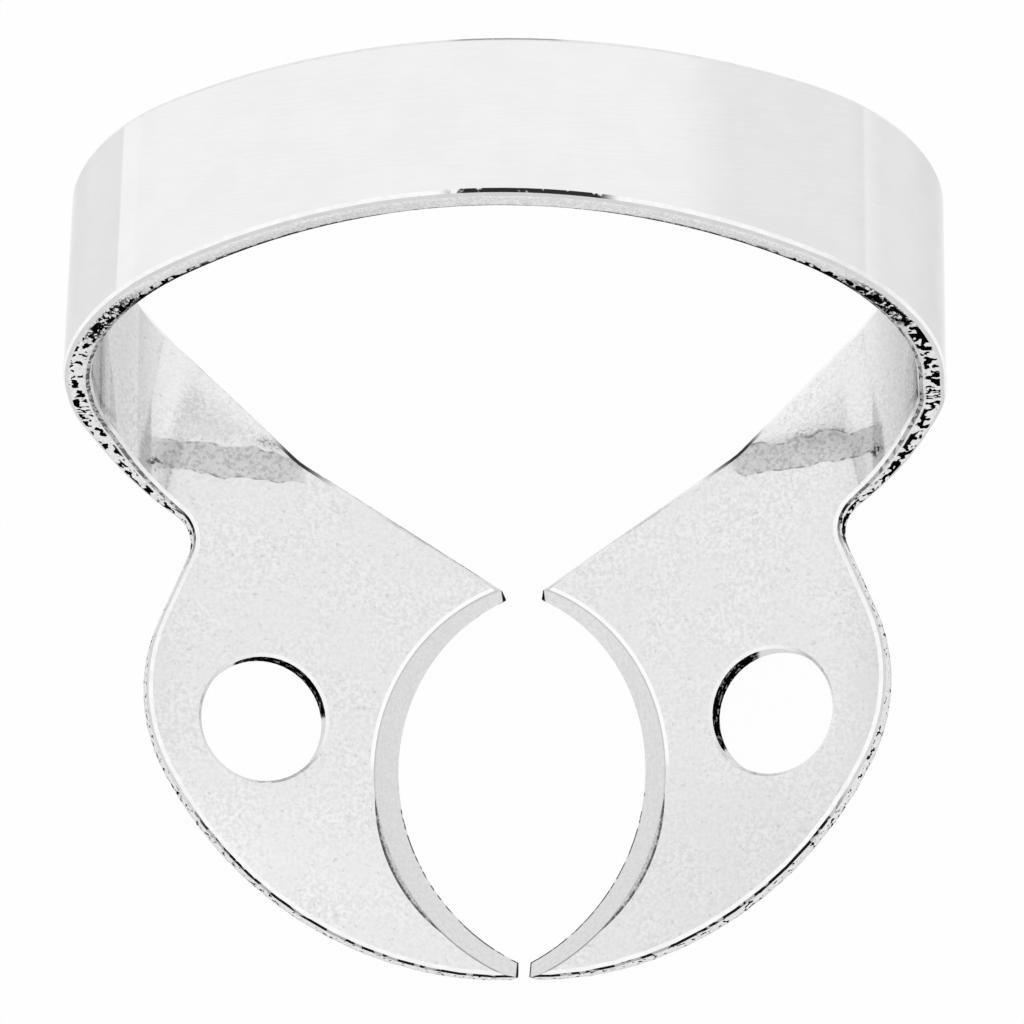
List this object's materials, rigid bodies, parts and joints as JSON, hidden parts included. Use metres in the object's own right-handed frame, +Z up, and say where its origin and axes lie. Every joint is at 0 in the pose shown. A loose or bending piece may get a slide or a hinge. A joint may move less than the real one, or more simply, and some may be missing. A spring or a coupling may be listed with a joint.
{
  "type": "rubber dam clamp",
  "caption": "Bent spring steel clamp that grips a molar: two prong-tipped jaws with forceps holes, joined over the back by an arched bow.",
  "frame": {"origin": "on the mirror plane between the jaws, at the centre of the round opening that takes the tooth, level with the underside of the prong tips", "axes": "+X from jaw to jaw, square to the mirror plane; +Y from the jaws towards the bow; +Z up, away from the gum"},
  "size_m": [0.0218, 0.021, 0.0139],
  "materials": {
    "steel": "bright satin stainless spring steel"
  },
  "bodies": {
    "root": {"dam_clamp": "steel"}
  },
  "joints": []
}
